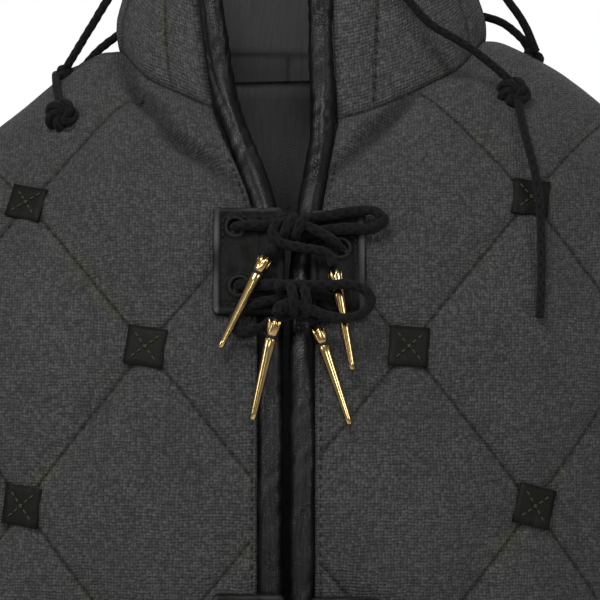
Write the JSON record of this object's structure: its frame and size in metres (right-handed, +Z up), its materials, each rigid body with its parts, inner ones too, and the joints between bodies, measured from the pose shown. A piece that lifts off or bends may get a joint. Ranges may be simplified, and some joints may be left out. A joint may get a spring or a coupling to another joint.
{
  "type": "gambeson",
  "caption": "Padded, diamond-quilted arming coat with stand collar, long sleeves, leather-bound front edges and laced leather patches, in its hollow worn form.",
  "frame": {"origin": "between the two shoulder ends of the neck seam, where the coat rests on the wearer's shoulders", "axes": "+Z up, the front faces -Y, +X to the right as the front is seen"},
  "size_m": [0.7198, 0.3426, 0.9326],
  "materials": {
    "black_canvas": "coarse plain-weave cotton canvas, quilted, matt",
    "black_leather": "smooth rolled leather with a soft shine",
    "patch_leather": "thick matt leather with stitched edges",
    "brass": "polished",
    "black_cord": "soft braided cotton cord"
  },
  "bodies": {
    "root": {"aglet_chest_lower_a": "brass", "aglet_chest_lower_b": "brass", "aglet_chest_upper_a": "brass", "aglet_chest_upper_b": "brass", "aglet_hip_lower_a": "brass", "aglet_hip_lower_b": "brass", "aglet_hip_upper_a": "brass", "aglet_hip_upper_b": "brass", "aglet_waist_lower_a": "brass", "aglet_waist_lower_b": "brass", "aglet_waist_upper_a": "brass", "aglet_waist_upper_b": "brass", "back": "black_canvas", "binding_collar": "black_leather", "binding_left": "black_leather", "binding_right": "black_leather", "collar": "black_canvas", "cord_left_back": "black_cord", "cord_left_front": "black_cord", "cord_right_back": "black_cord", "cord_right_front": "black_cord", "cord_right_loop": "black_cord", "cord_right_tail": "black_cord", "front_left": "black_canvas", "front_right": "black_canvas", "knot_left": "black_cord", "knot_right_back": "black_cord", "knot_right_front": "black_cord", "lace_chest_lower_a": "black_cord", "lace_chest_lower_b": "black_cord", "lace_chest_upper_a": "black_cord", "lace_chest_upper_b": "black_cord", "lace_hip_lower_a": "black_cord", "lace_hip_lower_b": "black_cord", "lace_hip_upper_a": "black_cord", "lace_hip_upper_b": "black_cord", "lace_waist_lower_a": "black_cord", "lace_waist_lower_b": "black_cord", "lace_waist_upper_a": "black_cord", "lace_waist_upper_b": "black_cord", "patch_chest_left": "patch_leather", "patch_chest_right": "patch_leather", "patch_hip_left": "patch_leather", "patch_hip_right": "patch_leather", "patch_waist_left": "patch_leather", "patch_waist_right": "patch_leather", "sleeve_left": "black_canvas", "sleeve_right": "black_canvas", "square_left_a": "patch_leather", "square_left_b": "patch_leather", "square_left_c": "patch_leather", "square_right_a": "patch_leather", "square_right_b": "patch_leather", "square_right_c": "patch_leather"}
  },
  "joints": []
}
